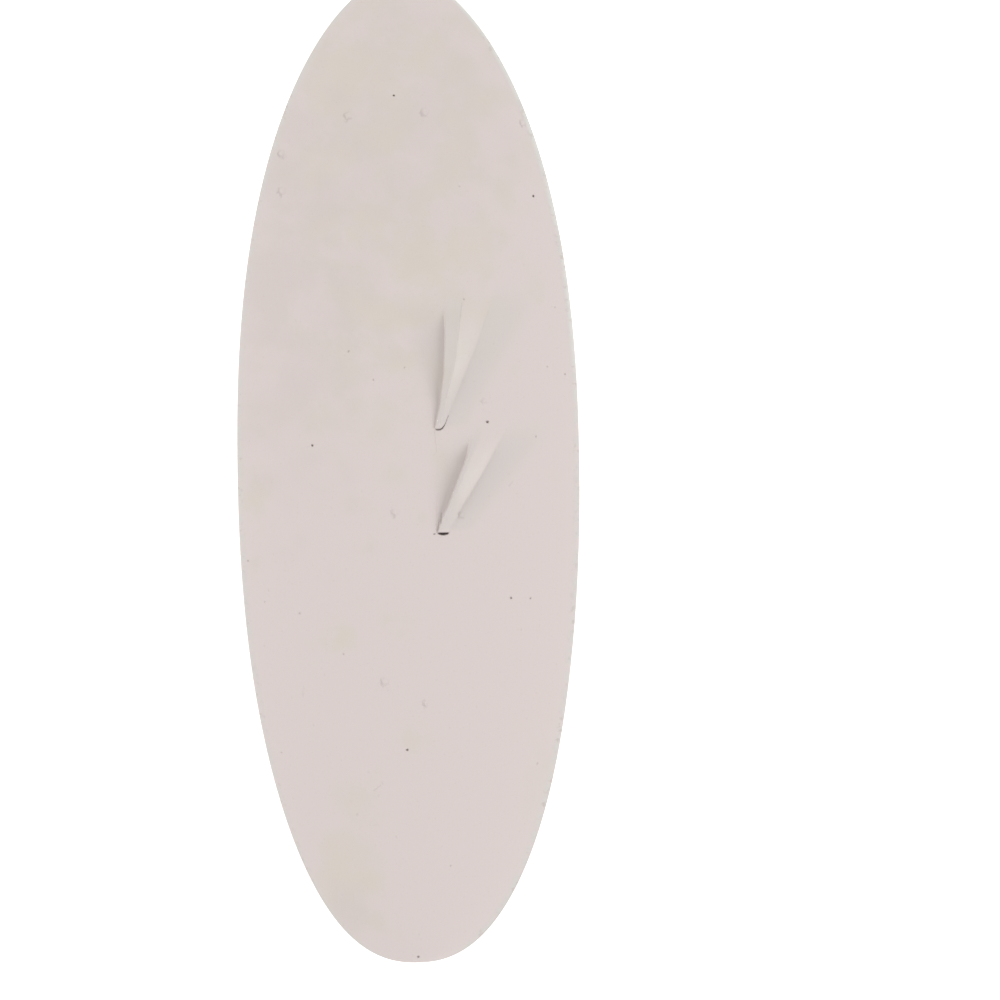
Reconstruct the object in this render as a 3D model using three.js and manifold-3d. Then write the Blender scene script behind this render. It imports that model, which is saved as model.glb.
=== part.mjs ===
// A cuttlebone, the chalky inner shell of a cuttlefish, lying on its belly with its hard, smooth back up.
// It grew as one piece, so it is one solid. Two long slivers of its back are torn free and stand a little
// proud. Millimetres. +X is to the right, +Y towards the pointed front end, +Z up. The origin is on the surface
// that the bone lies on, under the middle of its length and width.
import * as THREE from "three";
import { mergeVertices } from "three/addons/utils/BufferGeometryUtils.js";
import Module from "manifold-3d";

const { lerp, smoothstep, degToRad } = THREE.MathUtils;

// Driving dimensions of the bone.
const LENGTH = 150;
const WIDTH = 51.6;
const ARCH = 4.2; // how much lower the two ends of the rim are than its middle
const DOME = 3.9; // rise of the back from rim to midline, at mid-length
const RIM = 1.0; // half the thickness of the rim
const REAR_LIP = 0.9; // how much further the rim turns down round the rear end
const BELLY = 9.5; // depth of the belly below the rim, where it is thickest
const WEAR = 0.4; // how much of that is worn away, which leaves the flat patch that the bone lies on
const BELLY_AT = 0.02; // where the belly is thickest, as a share of the half length towards the front
const BELLY_END = -0.9; // where the belly runs out towards the rear
const FLANGE_FRONT = 2.4; // width of the bare rim round the belly at the front
const FLANGE_REAR = 7.0; // and at the rear, where it widens into the hollow of the cone
const FLANGE_NARROWS = 0.6; // share of the full width below which the flange narrows as the bone does
const CONE_DEPTH = 2.2; // depth of that hollow, with the lip that turns down round it
const SULCUS_DEPTH = 0.7; // depth of the long shallow groove down the rear of the belly
const SULCUS_WIDTH = 4.5; // from the groove's middle to where it has mostly faded
const SULCUS_FROM = 5; // where the groove starts to sink in, in front of mid-length
const SULCUS_FULL = -35; // and where it has its full depth

// Curves that fall from 1 in the middle to 0 at the end. A higher taper stays full for longer, and a lower
// end drops away more steeply. The front of the outline is drawn out to a blunt point, the rear is full and
// round.
const OUTLINE_FRONT = { taper: 2.36, end: 0.566 };
const OUTLINE_REAR = { taper: 2.11, end: 0.434 };
const DOME_ACROSS = { taper: 2, end: 1 };
const BACK_RIM_ACROSS = { taper: 8, end: 0.5 };
const BELLY_FRONT = { taper: 2, end: 0.85 };
const BELLY_REAR = { taper: 2, end: 1.3 };
const BELLY_ACROSS = { taper: 2.3, end: 0.8 };
const BELLY_RIM_ACROSS = { taper: 6, end: 0.5 };
const CONE_ACROSS = { taper: 2, end: 0.7 };
const DOME_NARROWS = 0.8; // power of the bone's width that the dome's rise follows

// The slivers: where each one's tip lies, how far its root leans to the right of the midline, and its length.
const SLIVERS = [
  { tip: new THREE.Vector2(4.7, 5.9), lean: degToRad(10), length: 20 },
  { tip: new THREE.Vector2(4.9, -9.7), lean: degToRad(26), length: 17.5 },
];
const TIP_WIDTH = 1.5;
const ROOT_WIDTH = 4.6;
const SLIVER_RISE = 0.9; // of its torn left edge over the back, at its highest
const TIP_RISE = 0.45; // of the same edge at the tip
const RIGHT_RISE = 0.15; // of its right edge, as a share of its left
const TIP_THICK = 0.15; // how far the free tip reaches below the back's surface
const SLIVER_ROOTED = 1.2; // and how deep the rest of its body reaches into the bone
const TROUGH_DEPTH = 0.45; // of the sunken strip on each side of a sliver
const TROUGH_LEFT = { halfWidth: 2.0, off: 0.4 }; // off is how far its middle lies outside the sliver's edge
const TROUGH_RIGHT = { halfWidth: 3.4, off: 2.0 };
const MOUTH = { halfWidth: 1.15, length: 2.0, behind: 0.7, depth: 1.1 }; // of the hole that the tip has left
const SCOOP_CLEAR = 2.7; // how far the tool that cuts a hollow stands over the back

// How finely the shapes are faceted.
const BONE_FACETS = { around: 72, along: 50 };
const SLIVER_FACETS = { around: 14, along: 12 };
const SCOOP_FACETS = { around: 12, along: 10 };

const HALF_LENGTH = LENGTH / 2;
const HALF_WIDTH = WIDTH / 2;
const RIM_HEIGHT = BELLY + RIM - WEAR; // of the rim's middle line at mid-length, above the ground

// share is how far out from the middle of a curve a point is, from 0 to 1.
function fall(curve, share) {
  return Math.pow(1 - Math.pow(Math.min(1, share), curve.taper), curve.end);
}

function halfWidth(y) {
  return HALF_WIDTH * fall(y > 0 ? OUTLINE_FRONT : OUTLINE_REAR, Math.abs(y) / HALF_LENGTH);
}

function rimHeight(y) {
  return RIM_HEIGHT - ARCH * Math.pow(y / HALF_LENGTH, 2);
}

// Height of the back over the rim's middle line. across is 0 at the midline and 1 at the rim.
function backRise(y, across) {
  const narrow = halfWidth(y) / HALF_WIDTH;
  const dome = DOME * Math.pow(narrow, DOME_NARROWS) * fall(DOME_ACROSS, across);
  const edge = RIM * Math.sqrt(narrow) * fall(BACK_RIM_ACROSS, across);
  return dome + edge;
}

// Depth of the belly at the midline, as a share of its greatest depth.
function bellyShare(y) {
  const t = y / HALF_LENGTH;
  if (t > BELLY_AT) return fall(BELLY_FRONT, (t - BELLY_AT) / (1 - BELLY_AT));
  return fall(BELLY_REAR, (BELLY_AT - t) / (BELLY_AT - BELLY_END));
}

// Depth of the underside below the rim's middle line.
function bellyDrop(y, across) {
  const half = halfWidth(y);
  const narrow = half / HALF_WIDTH;
  const rear = smoothstep(-y, 0, HALF_LENGTH);
  const edge = (RIM + REAR_LIP * rear) * Math.sqrt(narrow) * fall(BELLY_RIM_ACROSS, across);
  const flange = lerp(FLANGE_FRONT, FLANGE_REAR, rear) * Math.min(1, narrow / FLANGE_NARROWS);
  const bulgeHalf = half - flange;
  const x = half * across;
  const bulge = BELLY * bellyShare(y) * (bulgeHalf > 0 ? fall(BELLY_ACROSS, x / bulgeHalf) : 0);
  const hollow = CONE_DEPTH * rear * narrow * fall(CONE_ACROSS, across);
  const groove = smoothstep(-y, -SULCUS_FROM, -SULCUS_FULL) * narrow * fall(DOME_ACROSS, across);
  const sulcus = SULCUS_DEPTH * groove * Math.exp(-Math.pow(x / SULCUS_WIDTH, 2));
  return edge + bulge - hollow - sulcus;
}

function backHeight(x, y) {
  return rimHeight(y) + backRise(y, Math.abs(x) / halfWidth(y));
}

// A sphere with its poles at the two ends of Y, each vertex moved to where place puts it. place is given how
// far along the vertex is, from -1 to 1, and the cosine and sine of its angle round the long axis.
function movedSphere(facets, place) {
  const geometry = new THREE.SphereGeometry(1, facets.around, facets.along);
  const points = geometry.getAttribute("position");
  const point = new THREE.Vector3();
  for (let i = 0; i < points.count; i++) {
    point.fromBufferAttribute(points, i);
    const ring = Math.max(Math.hypot(point.x, point.z), 1e-6);
    const moved = place(point.y, point.x / ring, point.z / ring);
    points.setXYZ(i, moved.x, moved.y, moved.z);
  }
  return geometry;
}

function boneGeometry() {
  return movedSphere(BONE_FACETS, (along, side, up) => {
    const y = HALF_LENGTH * along;
    const across = Math.min(1, Math.abs(side));
    const rise = up >= 0 ? backRise(y, across) : -bellyDrop(y, across);
    return new THREE.Vector3(halfWidth(y) * side, y, rimHeight(y) + rise);
  });
}

// A point given by its distances right of a sliver's axis, along it from its tip, and up from the back.
function besideSliver(sliver, right, forward, up) {
  const flat = new THREE.Vector2(right, forward).rotateAround(new THREE.Vector2(), -sliver.lean);
  flat.add(sliver.tip);
  return new THREE.Vector3(flat.x, flat.y, backHeight(flat.x, flat.y) + up);
}

// How wide a long form is at a share of its length, as a share of its full width: round at both ends.
function roundEnds(along) {
  return Math.sqrt(1 - along * along);
}

function sliverHalfWidth(share) {
  return lerp(TIP_WIDTH, ROOT_WIDTH, share) / 2;
}

// A sliver: crisp and proud along its left edge, sloping down to the right, fading out at its root. Its tip
// is free, with air under it.
function sliverGeometry(sliver) {
  return movedSphere(SLIVER_FACETS, (along, side, up) => {
    const share = (along + 1) / 2;
    const full = Math.min(1, 2 * roundEnds(along));
    const right = sliverHalfWidth(share) * full * side;
    const crest = lerp(TIP_RISE, SLIVER_RISE, smoothstep(share, 0, 0.4)) * smoothstep(1 - share, 0, 0.7);
    const slope = lerp(1, RIGHT_RISE, smoothstep(side, -0.7, 1));
    const top = crest * slope * Math.min(1, 3 * Math.abs(up));
    const under = lerp(TIP_THICK, SLIVER_ROOTED, smoothstep(share, 0.1, 0.35)) * full;
    return besideSliver(sliver, right, share * sliver.length, up >= 0 ? top : under * up);
  });
}

// A hollow cut into the back. Its floor is deepest in the middle, which middle gives as a distance right of
// the sliver's axis, and its top stands clear of the surface.
function scoopGeometry(sliver, { middle, halfWidth, start, length, depth }) {
  return movedSphere(SCOOP_FACETS, (along, side, up) => {
    const share = (along + 1) / 2;
    const right = middle(share) + halfWidth * roundEnds(along) * side;
    const reach = (up >= 0 ? SCOOP_CLEAR : depth) * roundEnds(along);
    return besideSliver(sliver, right, start + share * length, reach * up);
  });
}

const wasm = await Module();
wasm.setup();

function solidOf(geometry) {
  geometry.deleteAttribute("normal");
  geometry.deleteAttribute("uv");
  const merged = mergeVertices(geometry);
  return new wasm.Manifold(
    new wasm.Mesh({
      numProp: 3,
      vertProperties: merged.getAttribute("position").array,
      triVerts: new Uint32Array(merged.index.array),
    }),
  );
}

function geometryOf(solid) {
  const mesh = solid.getMesh();
  const geometry = new THREE.BufferGeometry();
  geometry.setAttribute("position", new THREE.BufferAttribute(mesh.vertProperties, 3));
  geometry.setIndex(new THREE.BufferAttribute(mesh.triVerts, 1));
  geometry.computeVertexNormals();
  return geometry;
}

// The bone with one sliver torn up: a trough on each side of it, a mouth under its tip, then the sliver
// itself.
function tearSliver(bone, sliver) {
  const trough = { start: 0, length: sliver.length, depth: TROUGH_DEPTH };
  const left = (share) => -sliverHalfWidth(share) - TROUGH_LEFT.off;
  const right = (share) => sliverHalfWidth(share) + TROUGH_RIGHT.off;
  const hollows = [
    { ...trough, halfWidth: TROUGH_LEFT.halfWidth, middle: left },
    { ...trough, halfWidth: TROUGH_RIGHT.halfWidth, middle: right },
    { ...MOUTH, start: -MOUTH.behind, middle: () => 0 },
  ];
  const cut = (solid, hollow) => solid.subtract(solidOf(scoopGeometry(sliver, hollow)));
  return hollows.reduce(cut, bone).add(solidOf(sliverGeometry(sliver)));
}

// What lies below the surface that the bone rests on, which is cut off to leave the worn flat.
function groundGeometry() {
  return new THREE.BoxGeometry(2 * WIDTH, 2 * LENGTH, WIDTH).translate(0, 0, -WIDTH / 2);
}

const grown = solidOf(boneGeometry());
const worn = grown.subtract(solidOf(groundGeometry()));
const torn = SLIVERS.reduce(tearSliver, worn);

const shell = new THREE.MeshStandardMaterial({ color: 0xdbd0cd, roughness: 0.85, metalness: 0 });
const bone = new THREE.Mesh(geometryOf(torn), shell);
bone.name = "cuttlebone";

const part = new THREE.Group();
part.add(bone);

export default part;
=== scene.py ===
# %% [markdown]
# # A cuttlebone
#
# A cuttlebone is the inner shell of a cuttlefish: a long oval of chalk with a hard, smooth back and
# a soft, layered belly. It grew as one piece, so this lesson models one closed piece. It starts as
# a plain round blank, is cut finer where small detail is coming, is pressed into shape with
# brushes, and then gets its finish, its light and its camera.
#
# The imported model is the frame. It says where the bone lies and how big it is, in metres. The sizes
# in this lesson are in millimetres, which are easier to read on a thing as long as a hand, and MM
# turns them into metres.

# %% Load the frame
from math import atan2, cos, exp, hypot, pi, radians, sin, sqrt

import bmesh
import bpy
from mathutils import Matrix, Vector, noise


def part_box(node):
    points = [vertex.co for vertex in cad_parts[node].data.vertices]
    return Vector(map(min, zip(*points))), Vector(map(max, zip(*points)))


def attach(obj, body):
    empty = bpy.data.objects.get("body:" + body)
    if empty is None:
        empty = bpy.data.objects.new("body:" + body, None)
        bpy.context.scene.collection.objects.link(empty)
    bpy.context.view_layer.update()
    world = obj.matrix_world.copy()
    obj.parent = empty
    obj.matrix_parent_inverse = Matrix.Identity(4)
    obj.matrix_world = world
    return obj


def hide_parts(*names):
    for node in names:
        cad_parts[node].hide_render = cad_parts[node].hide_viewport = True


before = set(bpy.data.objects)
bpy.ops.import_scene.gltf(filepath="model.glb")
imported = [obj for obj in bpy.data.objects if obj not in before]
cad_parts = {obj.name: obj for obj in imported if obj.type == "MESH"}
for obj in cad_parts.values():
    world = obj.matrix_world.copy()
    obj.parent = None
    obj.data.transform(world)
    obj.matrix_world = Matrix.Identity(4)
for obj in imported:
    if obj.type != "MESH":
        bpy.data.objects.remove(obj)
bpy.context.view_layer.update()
low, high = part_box("cuttlebone")
MM = 0.001

LENGTH = (high.y - low.y) / MM
WIDTH = (high.x - low.x) / MM
HEIGHT = (high.z - low.z) / MM
print(f"the bone is {LENGTH:.1f} mm long, {WIDTH:.1f} mm wide and {HEIGHT:.1f} mm high")

# %% [markdown]
# ## The bone's main curves
#
# A real bone has no corners: its outline, its back and its belly all fall away from the middle in
# smooth curves. Each one could be drawn by hand, but a formula with two numbers says the same and
# can be read. A high taper stays full for longer, and a low end drops away more steeply.

# %% Outline and heights
OUTLINE_FRONT = (2.36, 0.566)  # taper and end: drawn out to a blunt point
OUTLINE_REAR = (2.11, 0.434)  # full and round

SLIVER_RISE = 0.9  # how far the torn slivers stand over the back
DOME = 3.9  # rise of the back over its rim
RIM = 1.0  # half the thickness of the rim
ARCH = 4.2  # how much lower the two ends of the rim are than its middle
WEAR = 0.4  # what is worn off the belly where the bone lies on it
RIM_HEIGHT = 10.1  # of the rim's middle line over the floor, at mid-length
BELLY = RIM_HEIGHT - RIM + WEAR

HALF_LENGTH = LENGTH / 2
HALF_WIDTH = WIDTH / 2


def fall(curve, share):
    """How high a curve still is at a share of the way out from its middle, from 1 down to 0."""
    taper, end = curve
    return (1 - min(1, abs(share)) ** taper) ** end


def half_width(y):
    return HALF_WIDTH * fall(OUTLINE_FRONT if y > 0 else OUTLINE_REAR, y / HALF_LENGTH)


def rim_height(y):
    return RIM_HEIGHT - ARCH * (y / HALF_LENGTH) ** 2


def blend(start, end, share):
    """Goes from start to end as share goes from 0 to 1."""
    return start + (end - start) * share


def ease(value, start, end):
    """Goes smoothly from 0 to 1 as value goes from start to end."""
    share = min(1, max(0, (value - start) / (end - start)))
    return share * share * (3 - 2 * share)


for y in (HALF_LENGTH / 2, -HALF_LENGTH / 2):
    print(f"half a width at y = {y:.1f} mm: {half_width(y):.1f} mm")

# %% [markdown]
# ## The blank
#
# The bone's outline has a point at each end where all its growth starts and stops, and a sphere has
# two poles, so a sphere is the blank. It is added flat, as thick as the bone's rim, with its poles
# turned to the bone's two ends. A new primitive is selected all over and so is the frame, so
# everything is deselected first.

# %% Add a flat sphere
SEGMENTS = 144
RINGS = 150

bpy.ops.object.select_all(action="DESELECT")
bpy.ops.mesh.primitive_uv_sphere_add(
    segments=SEGMENTS,
    ring_count=RINGS,
    radius=MM,
    location=(0, 0, RIM_HEIGHT * MM),
    rotation=(pi / 2, 0, 0),
    scale=(HALF_WIDTH, RIM, HALF_LENGTH),
)
bone = bpy.context.object
bone.name = "chalky_bone"
bpy.ops.object.transform_apply(location=True, rotation=True, scale=True)
print(f"blank: {len(bone.data.polygons)} faces")

# %% [markdown]
# ## The outline
#
# The blank is an ellipse, and the bone is more pointed in front and fuller behind. By hand, one
# would pick each ring of the blank in turn, make it wider or narrower, and move it down, because
# the bone is arched from end to end. A loop does the same. It finds the rings by their place along
# the bone.

# %% Fit each ring to the outline
TAIL_LEAN = 0.25  # how far the rear end lies to the right, because nothing that grew is quite even


def rings_of(piece):
    """The vertices of each ring of the blank, by its place along the bone."""
    rings = {}
    for vertex in piece.data.vertices:
        rings.setdefault(round(vertex.co.y / MM, 3), []).append(vertex.index)
    return rings


rings = rings_of(bone)
bpy.ops.object.mode_set(mode="EDIT")
bpy.ops.mesh.select_mode(type="VERT")
bpy.ops.mesh.select_all(action="DESELECT")
for y, members in rings.items():
    shape = bmesh.from_edit_mesh(bone.data)
    shape.verts.ensure_lookup_table()
    for index in members:
        shape.verts[index].select_set(True)
    if len(members) > 1:
        wider = half_width(y) / (HALF_WIDTH * sqrt(1 - (y / HALF_LENGTH) ** 2))
        bpy.ops.transform.resize(value=(wider, 1, 1), center_override=(0, 0, 0))
    aside = TAIL_LEAN * ease(-y, 25, 65)
    bpy.ops.transform.translate(value=(aside * MM, 0, (rim_height(y) - RIM_HEIGHT) * MM))
    for index in members:
        shape.verts[index].select_set(False)
bpy.ops.object.mode_set(mode="OBJECT")
print(f"outline: {len(rings)} rings fitted")

# %% [markdown]
# ## Where the slivers lie
#
# Two long slivers of the back are torn up near the middle: their tips are free, and their roots
# still grow out of the bone. Each is drawn by a few lines that run along the bone, as one would
# draw it with a pencil: its crisp left edge, its crest, its right edge, and how far the sunken
# strip on its left reaches. A line is a list of (y, x), and between two points it is straight.
#
# A few more numbers give each sliver its own character. The tip is where its free end starts, as
# (x, y), and the root is how far along the bone it ends. The curl bends its free end, and the gap is
# how wide the gap before that end is. The edge is how high the torn left edge stands, as a share of
# the crest, and the slope is the curve from the crest down to the right. The strip on its left is
# sunk, and the valley on its right is shallower.

# %% The slivers' lines
SLIVERS = [
    {
        "left": [(5.7, 4.2), (9.4, 5.05), (11.7, 5.3), (14.0, 5.65), (21.2, 5.95), (26.0, 6.4)],
        "crest": [(5.7, 4.7), (11.5, 6.2), (16.2, 7.5), (20.7, 7.9), (26.0, 8.8)],
        "right": [(5.7, 5.5), (8.0, 6.3), (11.8, 7.9), (18.6, 10.8), (26.0, 13.3)],
        "trough": [(5.7, 3.7), (10.0, 3.4), (13.0, 2.2), (18.6, -0.2), (26.0, -0.6)],
        "tip": (4.4, 5.75),
        "root": 26.0,
        "curl": 0.41,
        "gap": 0.3,
        "edge": 0.4,
        "sunk": 0.52,
        "slope": (1, 1.3),
        "valley": 0.25,
    },
    {
        "left": [(-9.8, 4.4), (-7.3, 5.3), (-5.8, 6.05), (1.7, 9.0), (5.5, 10.3)],
        "crest": [(-9.8, 4.8), (3.6, 10.5), (5.5, 11.3)],
        "right": [(-9.8, 6.0), (-5.8, 8.2), (-1.3, 11.1), (5.5, 14.9)],
        "trough": [(-9.8, 4.1), (-6.0, 3.8), (-2.8, 3.5), (0.2, 3.8), (5.5, 5.2)],
        "tip": (4.4, -9.8),
        "root": 5.5,
        "curl": 0,
        "gap": 0.47,
        "edge": 0.75,
        "sunk": 0.38,
        "slope": (2, 1),
        "valley": 0.4,
    },
]
for sliver in SLIVERS:
    print(f"a sliver {sliver['root'] - sliver['tip'][1]:.1f} mm long")


# %% Read the lines
TIP_WIDTH = 1.7  # how far a curled free end reaches to the right


def along(line, y):
    """Where a line is at a place along the bone."""
    for (y0, x0), (y1, x1) in zip(line, line[1:]):
        if y < y1:
            break
    return blend(x0, x1, (y - y0) / (y1 - y0))


def sliver_share(sliver, y):
    """How far from the tip to the root of a sliver a place is, from 0 to 1."""
    return (y - sliver["tip"][1]) / (sliver["root"] - sliver["tip"][1])


def tip_edge(sliver, x):
    """Where the free end of a sliver is, along the bone. It may curl up towards the right."""
    right = min(TIP_WIDTH, max(0, x - sliver["tip"][0]))
    return sliver["tip"][1] + sliver["curl"] * right ** 3


for sliver in SLIVERS:
    halfway = (sliver["root"] + sliver["tip"][1]) / 2
    print(f"its crest is at x = {along(sliver['crest'], halfway):.1f} mm halfway along")

# %% [markdown]
# ## Where the small marks lie
#
# The back has pinholes, where tiny bubbles in the shell broke open, some blisters with a chipped
# skin, and a few hairline scratches. Each has its own place, so they are given as lists. The
# finest specks are many and no single one matters, so they are left to a noise pattern in the
# chalk's colour.

# %% Pinholes, blisters and scratches
# x, y, the hole's radius, and how deep and dark it is
PINHOLES = [
    (-1.4, 56.1, 0.17, 1.0), (19.4, 40.7, 0.17, 1.0), (-14.3, 3.5, 0.19, 1.0),
    (12.0, 6.7, 0.19, 1.0), (-0.7, -42.4, 0.18, 0.9), (15.2, -19.8, 0.17, 0.8),
    (18.1, -19.9, 0.15, 0.4), (8.7, 25.2, 0.17, 0.3), (23.8, 13.8, 0.16, 0.4),
    (22.4, 23.9, 0.13, 0.25), (21.1, 14.9, 0.13, 0.25), (19.3, 4.4, 0.14, 0.35),
    (8.3, 42.2, 0.14, 0.25), (-8.7, 17.6, 0.14, 0.35), (-5.0, 13.2, 0.14, 0.4),
    (-0.3, 15.0, 0.14, 0.3), (-16.6, -21.7, 0.17, 0.3), (-10.1, -27.9, 0.14, 0.3),
    (-14.8, -38.6, 0.17, 0.15), (-19.7, -42.7, 0.15, 0.25), (18.8, -44.9, 0.16, 0.25),
    (5.5, -60.1, 0.15, 0.25), (-2.6, -55.6, 0.15, 0.12), (0.6, -70.6, 0.16, 0.1),
    (0.4, -74.0, 0.20, 0.7), (-24.3, -13.7, 0.16, 0.35), (-21.3, -18.2, 0.14, 0.2),
    (-21.9, -19.9, 0.14, 0.25), (8.0, -7.5, 0.20, 0.12), (-22.1, -26.6, 0.14, 0.2),
    (-5.1, -49.3, 0.17, 0.12), (-6.6, -45.8, 0.17, 0.12), (-8.4, -52.1, 0.18, 0.2),
    (16.6, -24.6, 0.13, 0.15), (-7.0, -3.5, 0.13, 0.12), (-11.6, -5.9, 0.14, 0.12),
    (-1.9, -13.7, 0.13, 0.1), (-9.5, -15.1, 0.14, 0.12), (-13.0, -31.0, 0.14, 0.12),
    (-3.4, -20.4, 0.13, 0.1), (4.6, -28.0, 0.12, 0.1), (9.8, -36.1, 0.13, 0.12),
    (14.2, 30.1, 0.13, 0.12), (-12.1, 28.0, 0.13, 0.12), (-16.6, 22.2, 0.12, 0.12),
    (3.4, 33.6, 0.12, 0.12),
]
# x, y and size
BLISTERS = [
    (-8.3, 53.2, 0.45), (3.2, 53.5, 0.42), (-18.5, 47.7, 0.38), (-18.5, 42.0, 0.40),
    (-4.0, -32.1, 0.42), (-2.1, -6.7, 0.34), (7.9, -7.2, 0.34), (2.1, -35.4, 0.30),
    (17.9, 51.9, 0.32), (11.6, 9.8, 0.28),
]
# the two ends of each scratch, and how dark it is
SCRATCHES = [
    ((4.05, 5.4), (4.35, 2.2), 0.05), ((4.4, -4.0), (4.15, -9.4), 0.05),
    ((8.4, 24.6), (7.75, 19.0), 0.07), ((15.1, -3.0), (15.7, -2.3), 0.10),
    ((-16.2, -32.7), (-16.3, -34.1), 0.08), ((2.0, -34.9), (1.9, -36.2), 0.08),
    ((-5.8, -48.5), (-3.9, -47.1), 0.08), ((3.75, -10.05), (3.95, -10.0), 0.70),
    ((4.4, -9.6), (4.6, -8.2), 0.2), ((4.85, -8.4), (4.95, -6.9), 0.3),
]


def to_scratch(x, y, start, end):
    """Distance from a place to a scratch."""
    run = Vector(end) - Vector(start)
    out = Vector((x, y)) - Vector(start)
    return (out - run * min(1, max(0, out.dot(run) / run.length_squared))).length


print(f"{len(PINHOLES)} pinholes, {len(BLISTERS)} blisters and {len(SCRATCHES)} scratches")

# %% [markdown]
# ## Cut the blank finer
#
# A brush can only shape what has vertices under it. The whole bone as fine as the pinholes would be
# millions of faces, so only the faces near the small detail are subdivided, again and again, closer
# and closer to it. This is done while the blank is still smooth and flat, so that every new vertex
# gets its true height from the brushes.

# %% How near a place is to small detail
BEFORE_TIP = 0.02  # share of a sliver's length that is cut finer before its tip
PAST_ROOT = 0.05  # and past its root
END_MIDDLE = 0.7  # where the middle of a sliver's free end is, to the right of its tip
END_HALF = 1.2  # and half of how wide it is there
POLE = 72  # beyond this the blank's own faces are already small, so they are only cut at the end

ALL_LINES = ("left", "crest", "right", "trough")
CRISP_LINES = ("left", "crest", "right")
MARKS = PINHOLES + BLISTERS
BROAD_MARKS = [mark for mark in MARKS if abs(mark[1]) < POLE]
DEEP_HOLES = [hole for hole in PINHOLES if hole[3] >= 0.25]


def near_sliver(x, y, reach, names, past):
    """Whether a place is within reach of one of a sliver's lines, or of its free end."""
    for sliver in SLIVERS:
        if -BEFORE_TIP - past < sliver_share(sliver, y) < 1 + PAST_ROOT + past:
            if any(abs(x - along(sliver[name], y)) < reach for name in names):
                return True
        beside = abs(x - sliver["tip"][0] - END_MIDDLE) < END_HALF + reach
        if beside and abs(y - tip_edge(sliver, x)) < reach:
            return True
    return False


def near_mark(x, y, reach, marks):
    return any(hypot(x - mark[0], y - mark[1]) < reach for mark in marks)


def near_scratch(x, y, reach):
    return any(to_scratch(x, y, start, end) < reach for start, end, dark in SCRATCHES)


print(f"{len(MARKS)} marks to cut round, {len(DEEP_HOLES)} of them to the finest")

# %% Subdivide round the slivers, pinholes, blisters and scratches
# how far each cut reaches: round which of a sliver's lines and how far past its ends, round which
# marks, and round the scratches
CUTS = [
    {"sliver": 7.0, "lines": ALL_LINES, "past": 0.2, "mark": 2.0, "marks": BROAD_MARKS, "scratch": 0},
    {"sliver": 3.8, "lines": ALL_LINES, "past": 0.1, "mark": 1.4, "marks": BROAD_MARKS, "scratch": 0},
    {"sliver": 1.4, "lines": CRISP_LINES, "past": 0, "mark": 0.9, "marks": MARKS, "scratch": 0.5},
    {"sliver": 0.5, "lines": ("left",), "past": 0, "mark": 0.5, "marks": DEEP_HOLES, "scratch": 0.2},
]


def wanted(x, y, cut):
    """Whether a place is near enough to small detail to be cut finer."""
    on_sliver = near_sliver(x, y, cut["sliver"], cut["lines"], cut["past"])
    return on_sliver or near_mark(x, y, cut["mark"], cut["marks"]) or near_scratch(x, y, cut["scratch"])


def refine(piece, cut):
    """Subdivides the back's faces whose middle is near small detail."""
    bpy.ops.object.mode_set(mode="EDIT")
    bpy.ops.mesh.select_mode(type="FACE")
    bpy.ops.mesh.select_all(action="DESELECT")
    shape = bmesh.from_edit_mesh(piece.data)
    for face in shape.faces:
        middle = face.calc_center_median() / MM
        if face.normal.z > 0 and wanted(middle.x, middle.y, cut):
            face.select_set(True)
    bmesh.update_edit_mesh(piece.data)
    bpy.ops.mesh.subdivide(number_cuts=1)
    bpy.ops.object.mode_set(mode="OBJECT")
    print(f"refined to {len(piece.data.polygons)} faces")


for cut in CUTS:
    refine(bone, cut)

# %% [markdown]
# The belly has growth lines all over its rear part, one for each layer of chambers. They run across
# the bone, so the faces there need many cuts along the bone and few across it: the edges that run
# each way are selected and cut in turn.

# %% Cut the belly into fine rows
LINES_FROM = -58  # where the growth lines start, towards the rear
LINES_TO = 20  # and where they stop, towards the front
WITHIN = 0.95  # share of half the width inside which the belly is cut


def cut_belly(piece, lengthwise, cuts):
    """Cuts the belly's edges that run along the bone, or those that run across it."""
    bpy.ops.object.mode_set(mode="EDIT")
    bpy.ops.mesh.select_mode(type="EDGE")
    bpy.ops.mesh.select_all(action="DESELECT")
    shape = bmesh.from_edit_mesh(piece.data)
    for edge in shape.edges:
        middle = (edge.verts[0].co + edge.verts[1].co) / 2 / MM
        run = edge.verts[1].co - edge.verts[0].co
        looks_down = all(face.normal.z < 0 for face in edge.link_faces)
        inside = LINES_FROM < middle.y < LINES_TO and abs(middle.x) < WITHIN * half_width(middle.y)
        edge.select_set(looks_down and inside and (abs(run.y) > 2 * abs(run.x)) == lengthwise)
    bmesh.update_edit_mesh(piece.data)
    bpy.ops.mesh.subdivide(number_cuts=cuts)
    bpy.ops.object.mode_set(mode="OBJECT")


cut_belly(bone, lengthwise=False, cuts=1)
cut_belly(bone, lengthwise=True, cuts=4)
print(f"belly cut: {len(bone.data.polygons)} faces")

# %% [markdown]
# ## A brush
#
# Sculpting by hand would press the clay with a brush. The same can be written down: a vertex group
# says how strongly each vertex is moved, and a Displace modifier moves them. The function height
# gives the millimetres up or down at each place of the back or of the belly, the group holds it as
# a share of the largest, and the modifier is applied at once, so that the next brush works on the
# new shape.

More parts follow.
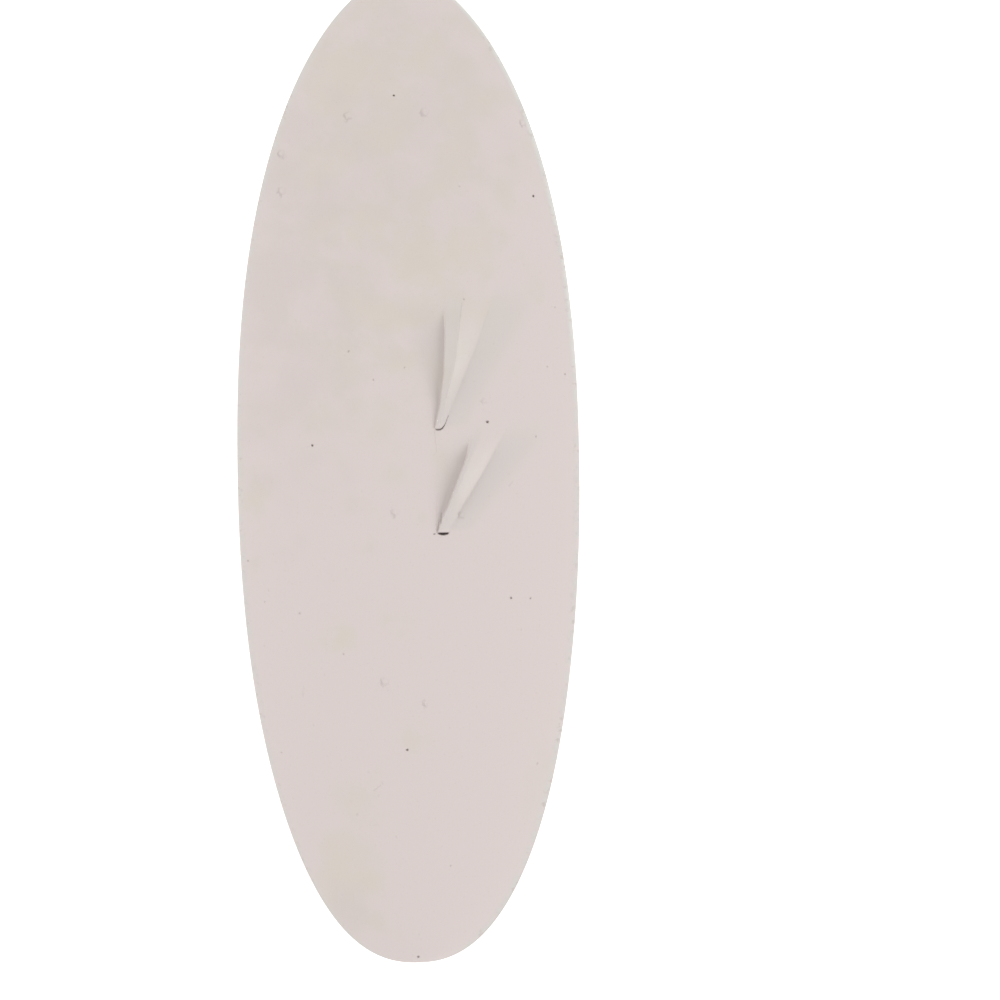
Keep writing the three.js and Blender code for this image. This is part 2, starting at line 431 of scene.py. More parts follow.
# %% Make the brush
def brush(piece, name, height, up=True):
    """Moves the back, or the belly, by the millimetres that height gives for each place."""
    heights = {}
    for vertex in piece.data.vertices:
        if (vertex.normal.z > 0) == up:
            heights[vertex.index] = height(vertex.co.x / MM, vertex.co.y / MM)
    for sign, way in ((1, "plus"), (-1, "minus")):
        most = max(sign * value for value in heights.values())
        if most <= 0:
            continue
        group = piece.vertex_groups.new(name=f"{name}_{way}")
        for index, value in heights.items():
            if sign * value > 0:
                group.add([index], sign * value / most, "REPLACE")
        push = piece.modifiers.new(name, "DISPLACE")
        push.direction = "Z"
        push.mid_level = 0
        push.strength = sign * most * MM
        push.vertex_group = group.name
        bpy.ops.object.modifier_apply(modifier=push.name)
        piece.vertex_groups.clear()
        print(f"{name}: up to {most:.2f} mm {way}")


print("the brush is ready")

# %% [markdown]
# ## The back
#
# The hard back is a low dome over the rim. Nothing that grew is quite even, so a second brush adds
# swells of a few hundredths of a millimetre, which are only seen in how the light runs over them.

# %% Press the dome
DOME_ACROSS = (2, 1)
DOME_NARROWS = 0.8  # power of the bone's width that the dome's rise follows
SWELL = 0.10
SWELL_SIZE = 14


def across(x, y):
    """How far out from the midline a place is, from 0 to 1 at the rim."""
    return min(1, abs(x) / max(half_width(y), 1e-6))


def dome(x, y):
    return DOME * (half_width(y) / HALF_WIDTH) ** DOME_NARROWS * fall(DOME_ACROSS, across(x, y))


def swell(x, y):
    return SWELL * fall(DOME_ACROSS, across(x, y)) * noise.noise(Vector((x, y, 0)) / SWELL_SIZE)


brush(bone, "dome", dome)
brush(bone, "swell", swell)

# %% [markdown]
# ## The slivers
#
# Each sliver stands proud. Its left edge is torn and crisp, and drops as a wall into a sunken
# strip. Its right side slopes down into a soft, shallow valley. Round its free end there is a
# narrow, deep gap. A height is worked out for the sliver itself and for the ground round it, and
# the two are joined by a steep wall.

# %% A sliver's own top
TIP_RISE = 0.4  # share of the full rise at the tip
VALLEY_STARTS = (-0.02, 0.2)  # shares of a sliver's length between which the valley sinks in


def valley_floor(sliver, y):
    """How low the valley lies along a sliver's right edge, as a share of its depth."""
    return ease(sliver_share(sliver, y), *VALLEY_STARTS)


def sliver_top(sliver, x, y, grown):
    """The height of a sliver's own top."""
    left, crest, right = (along(sliver[name], y) for name in ("left", "crest", "right"))
    if x < crest:
        return SLIVER_RISE * grown * blend(1, sliver["edge"], min(1, (crest - x) / (crest - left)))
    foot = -sliver["valley"] * grown * valley_floor(sliver, y)
    return blend(foot, SLIVER_RISE * grown, fall(sliver["slope"], (x - crest) / (right - crest)))


for sliver in SLIVERS:
    tip_top = sliver_top(sliver, sliver["crest"][0][1], sliver["crest"][0][0], TIP_RISE)
    print(f"the crest stands {tip_top:.2f} mm high at the tip")

# %% The ground round a sliver
VALLEY_WIDTH = (3.0, 6.0)  # at the tip and at the root
VALLEY_INSIDE = 0.3  # share of the valley's width that lies inside the sliver's right edge
TROUGH_STARTS = (-0.02, 0.03)  # shares of a sliver's length between which the strip sinks in
TROUGH_FADES = (0.7, 1.05)  # and between which it runs out
TROUGH_FLOOR = 0.8  # how far towards the wall the strip is at its lowest


def sliver_ground(sliver, x, y, grown):
    """The height of the strip on the left of a sliver and of the valley on its right."""
    share = sliver_share(sliver, y)
    left, right, trough = (along(sliver[name], y) for name in ("left", "right", "trough"))
    if x < (left + right) / 2:
        ends = ease(share, *TROUGH_STARTS) * (1 - ease(share, *TROUGH_FADES))
        return -sliver["sunk"] * ends * grown * ease(x, trough, blend(trough, left, TROUGH_FLOOR))
    width = blend(*VALLEY_WIDTH, min(1, max(0, share)))
    out = 1 - ease(x - right, -VALLEY_INSIDE * width, width)
    return -sliver["valley"] * grown * valley_floor(sliver, y) * out


print(f"the strips on the left are sunk by {[sliver['sunk'] for sliver in SLIVERS]} mm")

# %% The gap round a free end
GAP_BOW = 0.45  # share by which a gap narrows towards its two ends
GAP_FLOOR = 0.6  # share of a gap's width that is at its full depth
GAP_LIP = 0.05  # half the width of the lip where a gap starts
GAP_LEFT = (-0.15, 0.1)  # where a gap starts, from the sliver's left edge
GAP_RIGHT = (-0.3, 0)  # and where it runs out, from the sliver's right edge
GAP_ABOVE = 0.3  # how far above a place that right edge is read, where it is straight again


def sliver_gap(sliver, x, y):
    """How much of the gap round a sliver's free end is at a place, from 0 to 1."""
    below = tip_edge(sliver, x) - y
    left = along(sliver["left"], sliver["tip"][1])
    right = along(sliver["right"], y + GAP_ABOVE)
    sides = ease(x - left, *GAP_LEFT) * (1 - ease(x - right, *GAP_RIGHT))
    off_middle = 2 * (x - left) / (right - left) - 1
    wide = sliver["gap"] * (1 - GAP_BOW * min(1, off_middle ** 2))
    return sides * ease(below, -GAP_LIP, GAP_LIP) * (1 - ease(below, GAP_FLOOR * wide, wide))


print(f"the gaps are {[sliver['gap'] for sliver in SLIVERS]} mm wide")

# %% Tear up the slivers
CHANGES = (-0.1, 1.2)  # shares of a sliver's length between which it changes the back at all
GROWN_BY = 0.4  # share of its length by which it has its full rise
RUNS_OUT = (0.68, 1.05)  # and between which it sinks back into the bone
GAP_DEPTH = 1.1  # as a share of the gap's own width
WALL = 0.12  # how far a wall leans out where it is crisp
SOFT_WALL = 0.9  # and at the root, where it runs out
WALL_SOFTENS = (0.7, 1)


def sliver_height(sliver, x, y):
    share = sliver_share(sliver, y)
    if not CHANGES[0] < share < CHANGES[1]:
        return 0
    left, right = along(sliver["left"], y), along(sliver["right"], y)
    grown = blend(TIP_RISE, 1, ease(share, 0, GROWN_BY)) * (1 - ease(share, *RUNS_OUT))
    wall = blend(WALL, SOFT_WALL, ease(share, *WALL_SOFTENS))
    on_sliver = ease(x, left - wall, left) * ease(y - tip_edge(sliver, x), -WALL, 0) * (x < right)
    ground = sliver_ground(sliver, x, y, grown) - GAP_DEPTH * sliver["gap"] * sliver_gap(sliver, x, y)
    return blend(ground, sliver_top(sliver, x, y, grown), on_sliver)


def slivers(x, y):
    return sum(sliver_height(sliver, x, y) for sliver in SLIVERS)


brush(bone, "slivers", slivers)

# %% [markdown]
# ## Pinholes, blisters and scratches
#
# A pinhole is a small pit with steep sides. A blister is a low bump with a moat that is deeper on
# one side, where its skin chipped. Neither is quite round: a little noise moves every distance. A
# scratch is a fine, shallow groove.

# %% Uneven distances and moats
UNEVEN = 0.6  # share by which noise moves a distance
UNEVEN_FINE = 2.5  # how many swells of that noise there are in a millimetre
MOAT_AT = 1.3  # where a moat is deepest, as a share of its blister's size
MOAT_HALF = 0.6  # and half its width
MOAT_EVEN = 0.55  # share of a moat's depth that is the same all round
CHIPPED_SIDE = radians(215)


def uneven(distance, x, y):
    return distance * (1 + UNEVEN * noise.noise(Vector((x, y, 0)) * UNEVEN_FINE))


def moat(x, y, bx, by, size):
    """How deep the moat round a blister is at a place, from 0 to 1."""
    ring = 1 - abs(uneven(hypot(x - bx, y - by), x, y) / size - MOAT_AT) / MOAT_HALF
    side = MOAT_EVEN + (1 - MOAT_EVEN) * cos(atan2(y - by, x - bx) - CHIPPED_SIDE)
    return max(0, ring) * side


print(f"a moat is {2 * MOAT_HALF * BLISTERS[0][2]:.2f} mm wide round the first blister")

# %% Press the small marks
PINHOLE_DEPTH = 0.35
PIT_FLOOR = 0.4  # shares of a pinhole's radius between which its sides rise
PIT_TOP = 1.3
BLISTER_HEIGHT = 0.08
BLISTER_FOOT = 1.1  # where a blister ends, as a share of its size
MOAT_DEPTH = 0.10
SCRATCH_DEPTH = 0.04
SCRATCH_HALF = 0.11
SCRATCH_FLOOR = 0.3  # share of a scratch's width that is at its full depth


def marks(x, y):
    total = 0
    for px, py, radius, deep in PINHOLES:
        distance = uneven(hypot(x - px, y - py), x, y) / radius
        total -= PINHOLE_DEPTH * deep * (1 - ease(distance, PIT_FLOOR, PIT_TOP))
    for bx, by, size in BLISTERS:
        distance = uneven(hypot(x - bx, y - by), x, y) / size
        total += BLISTER_HEIGHT * (1 - ease(distance, 0, BLISTER_FOOT))
        total -= MOAT_DEPTH * moat(x, y, bx, by, size)
    for start, end, dark in SCRATCHES:
        distance = to_scratch(x, y, start, end) / SCRATCH_HALF
        total -= SCRATCH_DEPTH * (1 - ease(distance, SCRATCH_FLOOR, 1))
    return total


brush(bone, "marks", marks)

# %% [markdown]
# ## The belly
#
# The belly is a stack of thin chambers, thickest near the middle. It doesn't reach the rim: in
# front a narrow rim stays bare, and at the rear the rim widens into a shallow hollow cone with a
# turned-down lip. A long shallow groove, the sulcus, runs down its rear half.

# %% Press the belly
BELLY_AT = 0.02  # where the belly is thickest, as a share of the half length towards the front
BELLY_END = -0.9  # where it runs out towards the rear
BELLY_FRONT = (2, 0.85)
BELLY_REAR = (2, 1.3)
BELLY_ACROSS = (2.3, 0.8)
FLANGE_FRONT = 2.4
FLANGE_REAR = 7.0
FLANGE_NARROWS = 0.6  # share of the full width below which the flange narrows as the bone does
REAR_LIP = 0.9
LIP_ACROSS = (6, 0.5)
CONE_DEPTH = 2.2
CONE_ACROSS = (2, 0.7)
SULCUS_DEPTH = 0.7
SULCUS_WIDTH = 4.5
SULCUS_SINKS = (-5, 35)  # how far behind mid-length the sulcus starts and has its full depth


def belly_place(x, y):
    """How far out from the middle of the bulge a place is, from 0 to 1 at the bulge's foot."""
    narrow = half_width(y) / HALF_WIDTH
    flange = blend(FLANGE_FRONT, FLANGE_REAR, ease(-y, 0, HALF_LENGTH)) * min(1, narrow / FLANGE_NARROWS)
    bulge_half = half_width(y) - flange
    return min(1, abs(x) / bulge_half) if bulge_half > 0 else 1


def belly_share(y):
    share = y / HALF_LENGTH
    if share > BELLY_AT:
        return fall(BELLY_FRONT, (share - BELLY_AT) / (1 - BELLY_AT))
    return fall(BELLY_REAR, (BELLY_AT - share) / (BELLY_AT - BELLY_END))


def belly(x, y):
    narrow = half_width(y) / HALF_WIDTH
    rear = ease(-y, 0, HALF_LENGTH)
    bulge = BELLY * belly_share(y) * fall(BELLY_ACROSS, belly_place(x, y))
    lip = REAR_LIP * rear * sqrt(narrow) * fall(LIP_ACROSS, across(x, y))
    hollow = CONE_DEPTH * rear * narrow * fall(CONE_ACROSS, across(x, y))
    groove = ease(-y, *SULCUS_SINKS) * narrow * fall(DOME_ACROSS, across(x, y))
    sulcus = SULCUS_DEPTH * groove * exp(-((x / SULCUS_WIDTH) ** 2))
    return hollow + sulcus - bulge - lip


brush(bone, "belly", belly, up=False)

# %% [markdown]
# The growth lines bow towards the front, like fingernail moons. Each is the edge of one layer, so
# it is a small step, not a wave: it rises slowly and drops at once. They stop short of the front
# third, where the last, newest chamber lies smooth.

# %% Press the growth lines
LINE_STEP = 1.3  # from one growth line to the next
LINE_DEPTH = 0.2
LINE_RISE = 0.75  # share of a step over which it rises
LINE_BOW = 6.0  # how much further back a line's ends lie than its middle
LINE_WAVE = 0.8  # how far noise moves a line
LINE_WAVE_SIZE = 9
LINES_GROW = 12  # over how much of the bone the rearmost lines grow to their full depth
LINES_END = (-3, -2)  # where they stop in front, from LINES_TO
BULGE_EDGE = 0.9  # how far out on the bulge its lines and its white chalk start to fade


def growth_place(x, y):
    """How far along its own line's step a place is, from 0 to 1, and how strong that line is there."""
    wave = LINE_WAVE * noise.noise(Vector((x, y, 0)) / LINE_WAVE_SIZE)
    place = y + LINE_BOW * belly_place(x, y) ** 2 + wave
    zone = ease(place - LINES_FROM, 0, LINES_GROW) * (1 - ease(place - LINES_TO, *LINES_END))
    return place / LINE_STEP % 1, zone * (1 - ease(belly_place(x, y), BULGE_EDGE, 1))


def growth(x, y):
    """A step's height: it rises along most of its line and drops over the rest."""
    step, strength = growth_place(x, y)
    rise = step - 1
    drop = LINE_RISE - 1 - (step - LINE_RISE) * LINE_RISE / (1 - LINE_RISE)
    return LINE_DEPTH * strength * min(rise, drop)


brush(bone, "growth", growth, up=False)

# %% [markdown]
# The bone lies on the fullest part of its belly, where the chalk has rubbed flat. What is below the
# floor is squeezed up to it.

# %% Flatten the worn patch
bpy.ops.object.mode_set(mode="EDIT")
bpy.ops.mesh.select_mode(type="VERT")
bpy.ops.mesh.select_all(action="DESELECT")
shape = bmesh.from_edit_mesh(bone.data)
for vertex in shape.verts:
    if vertex.co.z < 0:
        vertex.select_set(True)
worn = sum(vertex.select for vertex in shape.verts)
bmesh.update_edit_mesh(bone.data)
bpy.ops.transform.resize(value=(1, 1, 0), center_override=(0, 0, 0))
bpy.ops.object.mode_set(mode="OBJECT")
bpy.ops.object.shade_smooth()
print(f"worn flat: {worn} vertices")

# %% [markdown]
# ## Where the finish changes
#
# Shade is painted into the pinholes, the moats, the scratches and the gaps round the slivers, and along
# the foot of each sliver's left wall. The slivers show fresh, creamy layers on their crests and a
# greyish tint on their tips, with painted shade on their left sides, in their troughs and in the valleys
# on their right. The rim is greyer, and paler on the right in front, and the belly's bulge is softer,
# whiter chalk, darker at the foot of each growth line. The back has yellowed in broad patches, mostly in
# front, is darker in patches over its left front, partly painted shade, and a few small stains are
# spread over it. They all have their own places, so they are stored on the mesh as attributes that the
# material reads.

# %% Store an attribute
def store(piece, name, value):
    """Stores a number from 0 to 1 for each vertex, worked out from its place and whether it looks up."""
    layer = piece.data.attributes.new(name, "FLOAT", "POINT")
    for vertex in piece.data.vertices:
        x, y = vertex.co.x / MM, vertex.co.y / MM
        layer.data[vertex.index].value = value(x, y, vertex.normal.z > 0)
    print(f"stored {name}")


print(f"{len(bone.data.vertices)} vertices to store numbers on")

# %% Painted shade in the marks
PINHOLE_SHADE = 0.5  # painted shade in the deepest pinholes
SHADE_FLOOR = 0.5  # shares of a pinhole's radius between which its painted shade fades out
SHADE_TOP = 1.4
MOAT_SHADE = 0.2
SCRATCH_SHADE_TOP = 1.2  # how far a scratch's painted shade reaches, as a share of the scratch's half width


# Painted shade: darkest in the pinholes, fainter in the moats round the blisters and along the
# scratches.
def mark_shade(x, y):
    most = 0
    for px, py, radius, deep in PINHOLES:
        distance = uneven(hypot(x - px, y - py), x, y) / radius
        most = max(most, PINHOLE_SHADE * deep * (1 - ease(distance, SHADE_FLOOR, SHADE_TOP)))
    for bx, by, size in BLISTERS:
        most = max(most, MOAT_SHADE * moat(x, y, bx, by, size))
    for start, end, dark in SCRATCHES:
        distance = to_scratch(x, y, start, end) / SCRATCH_HALF
        most = max(most, dark * (1 - ease(distance, SCRATCH_FLOOR, SCRATCH_SHADE_TOP)))
    return most


print(f"dirt in the first pinhole: {mark_shade(*PINHOLES[0][:2]):.2f}")

# %% Painted shade along the slivers
DARK_GAP = (0.05, 0.45)  # how wide a gap is that gets no painted shade, and one that gets all of it
CURL_LIGHTENS = 1.5  # how much a curl lightens the painted shade in the right part of a gap
WALL_SHADE = 0.07  # how much shade is painted along the foot of a sliver's left wall
WALL_SHADE_STARTS = (0, 0.1)  # shares of a sliver's length between which that painted shade starts
WALL_SHADE_FADES = (0.55, 1)  # and between which it runs out
WALL_SHADE_BEFORE = 1  # how far to the left of the sunken strip that painted shade starts
WALL_SHADE_FULL = 0.6  # how far towards the wall it is darkest


# Painted shade in the marks, in the gaps round the free ends and along the foot of each sliver's left
# wall.
def painted_shade(x, y, up):
    if not up:
        return 0
    most = mark_shade(x, y)
    for sliver in SLIVERS:
        right_part = ease(x - sliver["tip"][0], 0, TIP_WIDTH)
        kept = 1 - CURL_LIGHTENS * sliver["curl"] * right_part
        most = max(most, sliver_gap(sliver, x, y) * kept * ease(sliver["gap"], *DARK_GAP))
        share = sliver_share(sliver, y)
        left, trough = along(sliver["left"], y), along(sliver["trough"], y)
        if 0 < share < 1 and x < left:
            fade = ease(share, *WALL_SHADE_STARTS) * (1 - ease(share, *WALL_SHADE_FADES))
            full = blend(trough, left, WALL_SHADE_FULL)
            most = max(most, WALL_SHADE * fade * ease(x, trough - WALL_SHADE_BEFORE, full))
    return most


store(bone, "painted_shade", painted_shade)

# %% Fresh parts of the slivers
CREST_BAND = (-0.2, 0.1)  # where the creamy band starts, from the crest
FRESH_STARTS = (0.2, 0.5)  # shares of a sliver's length between which the band starts
FRESH_FADES = (0.5, 0.95)  # and between which it runs out


def fresh(x, y, up):
    """The creamy layer on a sliver, brightest along its crest."""
    most = 0
    for sliver in SLIVERS:
        share = sliver_share(sliver, y)
        crest, right = along(sliver["crest"], y), along(sliver["right"], y)
        if up and 0 < share < 1:
            band = ease(x - crest, *CREST_BAND) * (1 - ease(x, (crest + right) / 2, right))
            most = max(most, band * ease(share, *FRESH_STARTS) * (1 - ease(share, *FRESH_FADES)))
    return most


store(bone, "fresh", fresh)

# %% Greyish tint and painted shade on the slivers
EDGE_BLUR = 0.1  # how softly a cast ends at a sliver's left or right edge
CREST_BLUR = 0.2  # and at its crest
TIP_CAST = (0.2, 0.5)  # shares of a sliver's length between which the cast on its tip runs out
TROUGH_SHADE = 0.6  # how strong the painted shade in the sunken strip is
VALLEY_SHADE = (0.5, 1.4)  # shares of the valley's width between which its painted shade runs out
CAST_STARTS = (0, 0.05)
CAST_FADES = (0.8, 1.15)


def grey_and_shade(x, y, up):
    """A greyish tint on a sliver's tip, and painted shade on its left side, in its trough and in the
    valley on its right.
    """
    most = 0
    for sliver in SLIVERS:
        share = sliver_share(sliver, y)
        left, crest, right, trough = (along(sliver[name], y) for name in ALL_LINES)
        if up and 0 < share < CHANGES[1]:
            width = blend(*VALLEY_WIDTH, share)
            from_left = ease(x - left, -EDGE_BLUR, 0)
            to_right = 1 - ease(x - right, -EDGE_BLUR, 0)
            to_crest = 1 - ease(x - crest, -CREST_BLUR, CREST_BLUR)
            out = 1 - ease((x - right) / width, *VALLEY_SHADE)
            tints_and_shades = (
                from_left * to_right * (1 - ease(share, *TIP_CAST)) * (y > tip_edge(sliver, x)),
                from_left * to_crest,
                TROUGH_SHADE * ease(x, trough, left) * (x < left),
                ease(x, right - 0.5, right) * out,
            )
            most = max(most, max(tints_and_shades) * ease(share, *CAST_STARTS) * (1 - ease(share, *CAST_FADES)))
    return most


store(bone, "grey_and_shade", grey_and_shade)

# %% Patches and stains
# the middle, the reach across and along, and the strength of each patch
PATCH_CORE = 0.3  # share of a patch's reach that has its full strength
PATCH_SWELLS = 9  # how much larger a patch's uneven edge is than a small mark's
AGED_PATCHES = [
    (-5, 42, 28, 49, 1.0), (-10, -63.5, 7, 13, 0.75), (-24, 0, 4, 14, 1.0), (20, -45, 6, 12, 0.3),
]
# darker patches over the back: partly painted shade over its left front, partly darker pinkish patches
DUSKY_SHADE_PATCHES = [(-18, 34, 20, 47, 1.0), (0, 52, 22, 26, 0.7), (-9.5, -67, 4, 6, 0.8)]
STAINS = [
    (7.7, 53.2, 5, 4, 0.5), (-5.5, 49.6, 4, 3.5, 0.4), (-12.2, 47, 6, 5, 0.7),
    (9.7, 31, 4, 3.5, 0.5), (-0.8, 23.7, 7, 4, 0.4), (-13, 8.3, 4, 3, 0.5),
    (-10.6, -25.3, 4, 3, 0.65), (-2.2, -23.2, 3, 2.5, 0.5), (0, -40.8, 3, 3, 0.45),
    (-8.3, -50, 4, 5, 0.45), (-6.5, -63, 3.5, 3, 0.45), (-8.8, -66.6, 3, 3, 0.4),
]


def patched(patches, x, y):
    """How much of a set of soft oval patches is at a place, from 0 to 1."""
    most = 0
    for px, py, reach_x, reach_y, strength in patches:
        distance = hypot((x - px) / reach_x, (y - py) / reach_y)
        distance = uneven(distance, x / PATCH_SWELLS, y / PATCH_SWELLS)
        most = max(most, strength * (1 - ease(distance, PATCH_CORE, 1)))
    return most


store(bone, "aged", lambda x, y, up: patched(AGED_PATCHES, x, y) if up else 0)
store(bone, "stain", lambda x, y, up: patched(STAINS, x, y) if up else 0)
store(bone, "dusky_shade", lambda x, y, up: patched(DUSKY_SHADE_PATCHES, x, y) if up else 0)

# %% Rim, belly and growth lines
RIM_BAND = (0.1, 1.3)  # how far in from the outline the grey starts to fade, and where it ends
PALE_BAND = (0.15, 0.85)  # and the same for the paler part
PALE_FROM_X = (3, 9)
PALE_FROM_Y = (0, 25)
LINE_FOOT_STARTS = (-0.15, 0.05)  # where the darker band starts, from the top of a growth line's step
LINE_FOOT_ENDS = (0.9, 1)


def pale_rim(x, y, up):
    """The rim's right front part, which is paler."""
    front_right = ease(x, *PALE_FROM_X) * ease(y, *PALE_FROM_Y)
    return front_right * (1 - ease(half_width(y) - x, *PALE_BAND))


def line_foot_dark(x, y, up):
    """The darker band at the foot of each growth line's step."""
    if up:
        return 0
    step, strength = growth_place(x, y)
    return strength * ease(step - LINE_RISE, *LINE_FOOT_STARTS) * (1 - ease(step, *LINE_FOOT_ENDS))


store(bone, "rim", lambda x, y, up: 1 - ease(half_width(y) - abs(x), *RIM_BAND))
store(bone, "pale_rim", pale_rim)
store(bone, "belly", lambda x, y, up: 0 if up else 1 - ease(belly_place(x, y), BULGE_EDGE, 1))
store(bone, "lines", line_foot_dark)

# %% [markdown]
# ## The chalk
#
# The hard back is matt and close to plain, so what makes it real is faint: yellowish patches where it
# has aged and darker patches that are partly painted shade, broken up by clouds, a greyer rim, painted
# shade in the holes, and a very fine grain that only breaks up the light. Each is its own short chain of
# nodes, mixed onto the base colour one after the other. All of them read the object's own coordinates,
# so the pattern stays put on the bone.

# %% Helpers for nodes
def new_material(name):
    material = bpy.data.materials.new(name)
    material.use_nodes = True
    material.node_tree.nodes.clear()
    return material, material.node_tree


def add(tree, kind, inputs=None, **settings):
    """Adds a node. inputs holds what goes into its sockets, numbers or other nodes' outputs."""
    node = tree.nodes.new(kind)
    for name, value in settings.items():
        setattr(node, name, value)
    for name, value in (inputs or {}).items():
        if isinstance(value, bpy.types.NodeSocket):
            tree.links.new(value, node.inputs[name])
        else:
            node.inputs[name].default_value = value
    return node


def ramp(tree, value, start, end):
    """Goes from 0 to 1 as value goes from start to end."""
    node = add(tree, "ShaderNodeMapRange", {"Value": value, "From Min": start, "From Max": end})
    node.interpolation_type = "SMOOTHSTEP"
    return node.outputs["Result"]


def tint(tree, base, colour, amount):
    """Mixes a colour onto a base colour, by an amount from 0 to 1."""
    node = tree.nodes.new("ShaderNodeMix")
    node.data_type = "RGBA"
    for socket, value in ((node.inputs[6], base), (node.inputs[7], colour), (node.inputs[0], amount)):
        if isinstance(value, bpy.types.NodeSocket):
            tree.links.new(value, socket)
        else:
            socket.default_value = value
    return node.outputs[2]


def times(tree, first, second):
    return add(tree, "ShaderNodeMath", {0: first, 1: second}, operation="MULTIPLY").outputs[0]


print("node helpers are ready")

# %% Mix the chalk
BACK = (0.712, 0.633, 0.611, 1)
AGED = (0.680, 0.626, 0.550, 1)
DUSKY_SHADE = (0.672, 0.598, 0.575, 1)
FRESH = (0.710, 0.700, 0.645, 1)
GREY_AND_SHADE = (0.620, 0.595, 0.560, 1)
RIM_GREY = (0.655, 0.638, 0.608, 1)
RIM_PALE = (0.735, 0.730, 0.690, 1)
BELLY_WHITE = (0.720, 0.680, 0.615, 1)
LINE_FOOT = (0.560, 0.500, 0.430, 1)
SPECK = (0.520, 0.440, 0.410, 1)
SHADE_DARK = (0.060, 0.045, 0.040, 1)

chalk, tree = new_material("chalk")
place = add(tree, "ShaderNodeTexCoord").outputs["Object"]


def cloud(size, detail=3, rough=0.5):
    """Soft random clouds of about a size in millimetres."""
    node = add(tree, "ShaderNodeTexNoise", {"Vector": place, "Scale": 1 / (size * MM), "Detail": detail})
    node.inputs["Roughness"].default_value = rough
    return node.outputs["Fac"]


def attribute(name):
    return add(tree, "ShaderNodeAttribute", attribute_name=name).outputs["Fac"]


mottle = ramp(tree, cloud(7, 4, 0.65), 0.38, 0.62)
colour = tint(tree, BACK, AGED, times(tree, times(tree, mottle, attribute("aged")), 0.8))
stained = ramp(tree, cloud(2.5, 4, 0.6), 0.3, 0.6)
colour = tint(tree, colour, AGED, times(tree, stained, attribute("stain")))
# darker patches, partly painted shade over the left front
dusky_shade = ramp(tree, cloud(11, 4, 0.6), 0.3, 0.6)
colour = tint(tree, colour, DUSKY_SHADE, times(tree, times(tree, dusky_shade, attribute("dusky_shade")), 0.8))
colour = tint(tree, colour, BELLY_WHITE, attribute("belly"))
colour = tint(tree, colour, LINE_FOOT, times(tree, attribute("lines"), 0.5))
rim_amount = times(tree, attribute("rim"), ramp(tree, cloud(1.2, 3), 0.3, 0.6))
colour = tint(tree, colour, RIM_GREY, times(tree, rim_amount, 0.9))
pale_patches = ramp(tree, cloud(4, 3), 0.3, 0.55)
colour = tint(tree, colour, RIM_PALE, times(tree, times(tree, pale_patches, attribute("pale_rim")), 0.8))
rim_specks = times(tree, ramp(tree, cloud(0.8, 3), 0.54, 0.68), ramp(tree, cloud(5), 0.4, 0.6))
colour = tint(tree, colour, SPECK, times(tree, times(tree, rim_specks, attribute("rim")), 0.5))
# a greyish tint on the slivers' tips, and painted shade on their left sides, in their troughs and in
# their valleys
colour = tint(tree, colour, GREY_AND_SHADE, times(tree, attribute("grey_and_shade"), 0.42))
colour = tint(tree, colour, FRESH, times(tree, attribute("fresh"), 0.3))
colour = tint(tree, colour, SPECK, times(tree, ramp(tree, cloud(0.35, 2), 0.6, 0.85), 0.25))
# painted shade in the pits, moats, scratches and gaps, and along the foot of each sliver's left wall
colour = tint(tree, colour, SHADE_DARK, times(tree, attribute("painted_shade"), 0.9))

grain = add(
    tree,
    "ShaderNodeBump",
    {"Height": cloud(0.4, 4, 0.6), "Strength": 0.12, "Distance": 0.1 * MM},
)
surface = add(
    tree,
    "ShaderNodeBsdfPrincipled",
    {
        "Base Color": colour,
        "Roughness": 0.9,
        "Specular IOR Level": 0.25,
        "Normal": grain.outputs["Normal"],
    },
)
add(tree, "ShaderNodeOutputMaterial", {"Surface": surface.outputs["BSDF"]})
bone.data.materials.append(chalk)
print(f"chalk: {len(tree.nodes)} nodes")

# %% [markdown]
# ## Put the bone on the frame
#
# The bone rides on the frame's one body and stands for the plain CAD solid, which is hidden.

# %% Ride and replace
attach(bone, "root")
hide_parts("cuttlebone")
print(f"on the frame: {bone.name}")

# %% [markdown]
# ## The floor
#
# A plain white sheet. It glows a little, as a light table does, so that the bone lies on white with
# hardly any shadow. Under the bone the glow fades out, or it would wash out the belly from below.

# %% Lay the floor
FLOOR_SIDE = 3.0  # in metres
FLOOR_UNDER = 0.05  # how far under the bone it lies, so that the two never fight over one place
GLOW = 0.55
GLOW_FROM = (0.7, 0.95)  # shares of the bone's size between which the glow comes up

bpy.ops.object.select_all(action="DESELECT")
bpy.ops.mesh.primitive_plane_add(size=FLOOR_SIDE, location=(0, 0, -FLOOR_UNDER * MM))
floor = bpy.context.object
floor.name = "white_sheet"
paper, paper_tree = new_material("white_paper")
spot = add(paper_tree, "ShaderNodeTexCoord").outputs["Object"]
oval = add(paper_tree, "ShaderNodeVectorMath", {0: spot}, operation="DIVIDE")
oval.inputs[1].default_value = (HALF_WIDTH * MM, HALF_LENGTH * MM, 1)
out = add(paper_tree, "ShaderNodeVectorMath", {0: oval.outputs["Vector"]}, operation="LENGTH")
glow = times(paper_tree, ramp(paper_tree, out.outputs["Value"], *GLOW_FROM), GLOW)
sheet = add(
    paper_tree,
    "ShaderNodeBsdfPrincipled",
    {
        "Base Color": (0.88, 0.88, 0.88, 1),
        "Roughness": 0.9,
        "Specular IOR Level": 0.1,
        "Emission Color": (1, 1, 1, 1),
        "Emission Strength": glow,
    },
)
add(paper_tree, "ShaderNodeOutputMaterial", {"Surface": sheet.outputs["BSDF"]})
floor.data.materials.append(paper)
print(f"floor: {FLOOR_SIDE} m on each side")

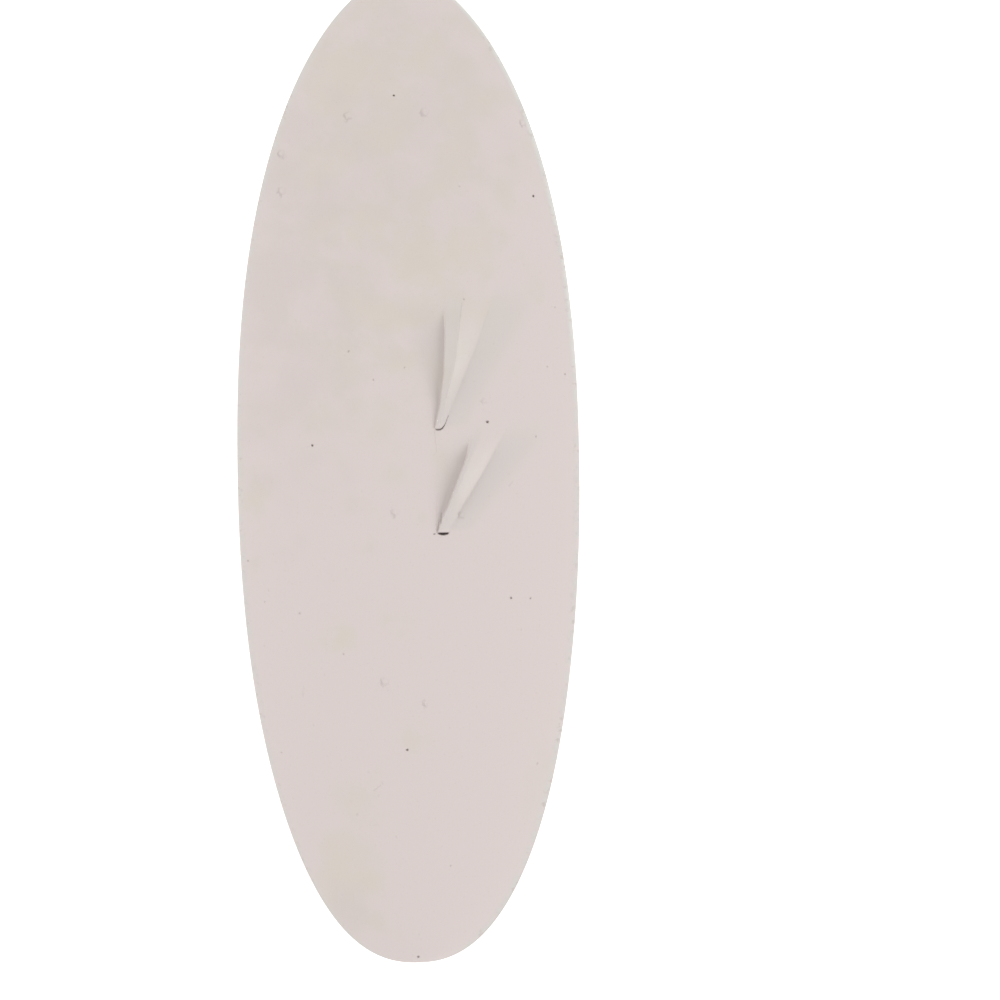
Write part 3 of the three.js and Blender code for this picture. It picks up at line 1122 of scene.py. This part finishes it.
# %% [markdown]
# ## Light
#
# Soft studio light: a large lamp on each side, low enough to rake over the slivers, and a pale
# surround that fills the shadows. The right one is a little stronger, so the two sides of a sliver
# don't look alike.

# %% Place the lamps
def lamp(name, azimuth, elevation, distance, size, power):
    """A square lamp that looks at the bone. Azimuth is counted from +X towards +Y."""
    a, e = radians(azimuth), radians(elevation)
    place = Vector((cos(a) * cos(e), sin(a) * cos(e), sin(e))) * distance
    bpy.ops.object.light_add(type="AREA", location=place)
    light = bpy.context.object
    light.name = name
    light.rotation_euler = place.to_track_quat("Z", "Y").to_euler()
    light.data.size = size
    light.data.energy = power
    light.visible_camera = False
    print(f"{name}: {power} W")


lamp("right_lamp", -10, 28, 1.0, 0.6, 3.6)
lamp("left_lamp", 170, 32, 1.0, 0.6, 3.4)

world = bpy.data.worlds.new("pale_room")
world.use_nodes = True
surround = world.node_tree.nodes["Background"]
surround.inputs["Color"].default_value = (1, 1, 1, 1)
surround.inputs["Strength"].default_value = 0.675
bpy.context.scene.world = world

# %% [markdown]
# ## The camera
#
# The camera looks straight down from a little under a metre, with a long lens, so that the bone's
# outline is hardly changed by how near it is. It is aimed beside the bone and turned a little, so
# that the bone lies left of the middle and its pointed end just leaves the picture.

# %% Place the camera
LENS = 200
SENSOR = 36
SEEN = 151.1  # millimetres of the bone's rim plane that the picture's width takes in
AIM = (13.75, -5.05)
TURN = -0.776

camera_height = SEEN * LENS / SENSOR + RIM_HEIGHT - ARCH / 3
bpy.ops.object.camera_add(
    location=(AIM[0] * MM, AIM[1] * MM, camera_height * MM),
    rotation=(0, 0, radians(TURN)),
)
camera = bpy.context.object
camera.name = "overhead_camera"
camera.data.lens = LENS
camera.data.sensor_width = SENSOR
bpy.context.scene.camera = camera
bpy.context.scene.view_settings.view_transform = "Standard"
print(f"camera: {camera_height:.0f} mm up")

# %% [markdown]
# ## The triangles
#
# The finished bone's triangles are counted. The finished model has to stay in the CAD
# model's box.

# %% Count the triangles
triangles = sum(len(face.vertices) - 2 for face in bone.data.polygons)
print(f"the finished bone has {triangles} triangles")
